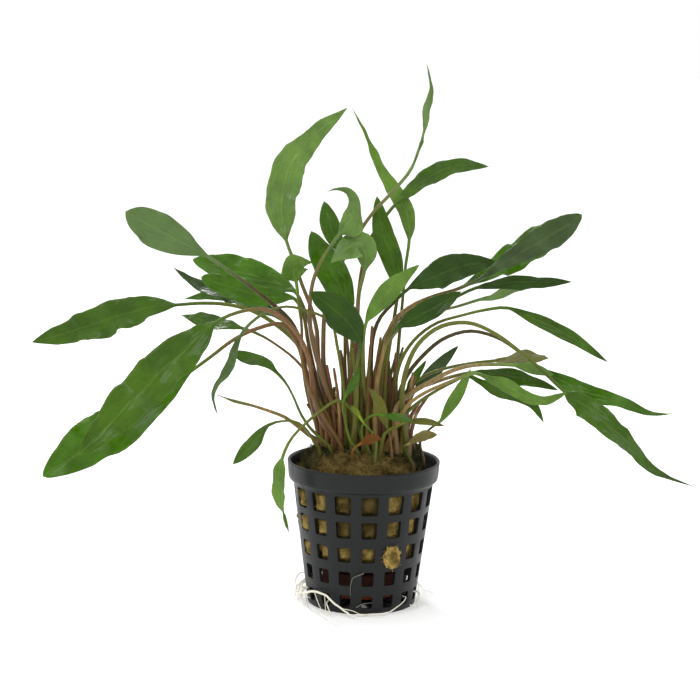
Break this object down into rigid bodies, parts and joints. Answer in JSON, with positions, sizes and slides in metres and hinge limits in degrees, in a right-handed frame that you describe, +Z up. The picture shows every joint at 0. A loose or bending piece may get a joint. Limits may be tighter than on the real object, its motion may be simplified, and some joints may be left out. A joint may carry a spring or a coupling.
{
  "type": "aquarium plant",
  "caption": "Bushy aquarium plant with long-stalked, wavy lance-shaped leaves, rooted in a mineral wool plug in a black slotted net pot with a weighting ring.",
  "frame": {"origin": "centre of the pot's flat underside, on the solid hub of its floor", "axes": "+Z up out of the pot; +X to the right along the plant's widest spread, seen from its front, which faces -Y"},
  "size_m": [0.236, 0.118, 0.194],
  "materials": {
    "pot_plastic": "satin",
    "mineral_wool": "matte",
    "fired_clay": "matte",
    "root": "satin",
    "leaf_mid": "satin",
    "leaf_bright": "satin",
    "leaf_dark": "satin",
    "leaf_grey": "satin",
    "leaf_pale": "satin",
    "leaf_olive": "satin",
    "stalk": "satin",
    "old_leaf": "satin",
    "dead_leaf": "matte"
  },
  "bodies": {
    "root": {"clay_ring": "fired_clay", "cut_stalk": "stalk", "leaf_arch_left_back": "leaf_mid", "leaf_arch_left_front": "leaf_mid", "leaf_arch_right": "leaf_mid", "leaf_arch_right_front": "leaf_mid", "leaf_broad_upper_left": "leaf_grey", "leaf_centre_bright": "leaf_bright", "leaf_centre_dark": "leaf_dark", "leaf_centre_front": "leaf_grey", "leaf_centre_slim": "leaf_mid", "leaf_centre_yellow": "leaf_bright", "leaf_curled_front": "leaf_olive", "leaf_dark_right": "leaf_dark", "leaf_dead": "dead_leaf", "leaf_far_left": "leaf_mid", "leaf_far_right": "leaf_mid", "leaf_fold_front": "leaf_pale", "leaf_fold_over": "leaf_pale", "leaf_grey_right": "leaf_grey", "leaf_hanging_left": "leaf_bright", "leaf_left_bright": "leaf_bright", "leaf_left_hidden": "leaf_mid", "leaf_left_narrow": "leaf_dark", "leaf_left_small": "leaf_bright", "leaf_left_under": "leaf_dark", "leaf_level_right": "leaf_mid", "leaf_level_right_under": "leaf_pale", "leaf_long_right": "leaf_grey", "leaf_long_right_back": "leaf_bright", "leaf_low_arch": "leaf_pale", "leaf_low_dark": "leaf_dark", "leaf_low_left": "leaf_mid", "leaf_low_mid": "leaf_mid", "leaf_low_under": "leaf_dark", "leaf_low_wavy": "leaf_bright", "leaf_olive_front": "leaf_olive", "leaf_over_rim": "leaf_grey", "leaf_pale_old": "old_leaf", "leaf_short_dark_right": "leaf_dark", "leaf_slant_right": "leaf_mid", "leaf_slim_centre": "leaf_bright", "leaf_slim_right": "leaf_bright", "leaf_small_folded": "leaf_dark", "leaf_sprout": "leaf_bright", "leaf_tall_left": "leaf_pale", "leaf_thin_front": "leaf_bright", "leaf_tiny_front": "leaf_bright", "leaf_top_right": "leaf_bright", "leaf_topmost": "leaf_pale", "leaf_touching_tip": "leaf_mid", "leaf_wavy_left": "leaf_dark", "net_pot": "pot_plastic", "rockwool_plug": "mineral_wool", "root_branch": "root", "root_front": "root", "root_inner": "root", "root_loop": "root", "root_main": "root"}
  },
  "joints": []
}
